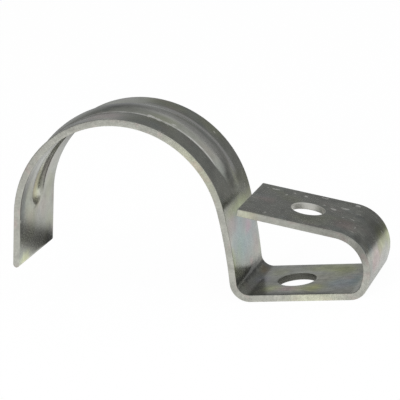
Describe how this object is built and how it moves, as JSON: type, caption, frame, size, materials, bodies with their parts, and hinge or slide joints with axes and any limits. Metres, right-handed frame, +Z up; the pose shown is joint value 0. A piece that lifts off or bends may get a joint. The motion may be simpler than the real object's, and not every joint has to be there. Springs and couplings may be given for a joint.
{
  "type": "pipe clip",
  "caption": "One-lug pipe clip: a folded steel strip with a half-ring seat, a pressed bead, and a foot with a flap folded back over it, both with a screw hole.",
  "frame": {"origin": "middle of the foot hole, on the underside of the foot", "axes": "+X along the foot away from the ring, +Y across the strip and along the pipe, +Z up from the mounting surface"},
  "size_m": [0.0794, 0.02, 0.0418],
  "materials": {
    "zinc_plate": "bright zinc plate with a faint yellow and pink tint"
  },
  "bodies": {
    "root": {"clip_strip": "zinc_plate"}
  },
  "joints": []
}
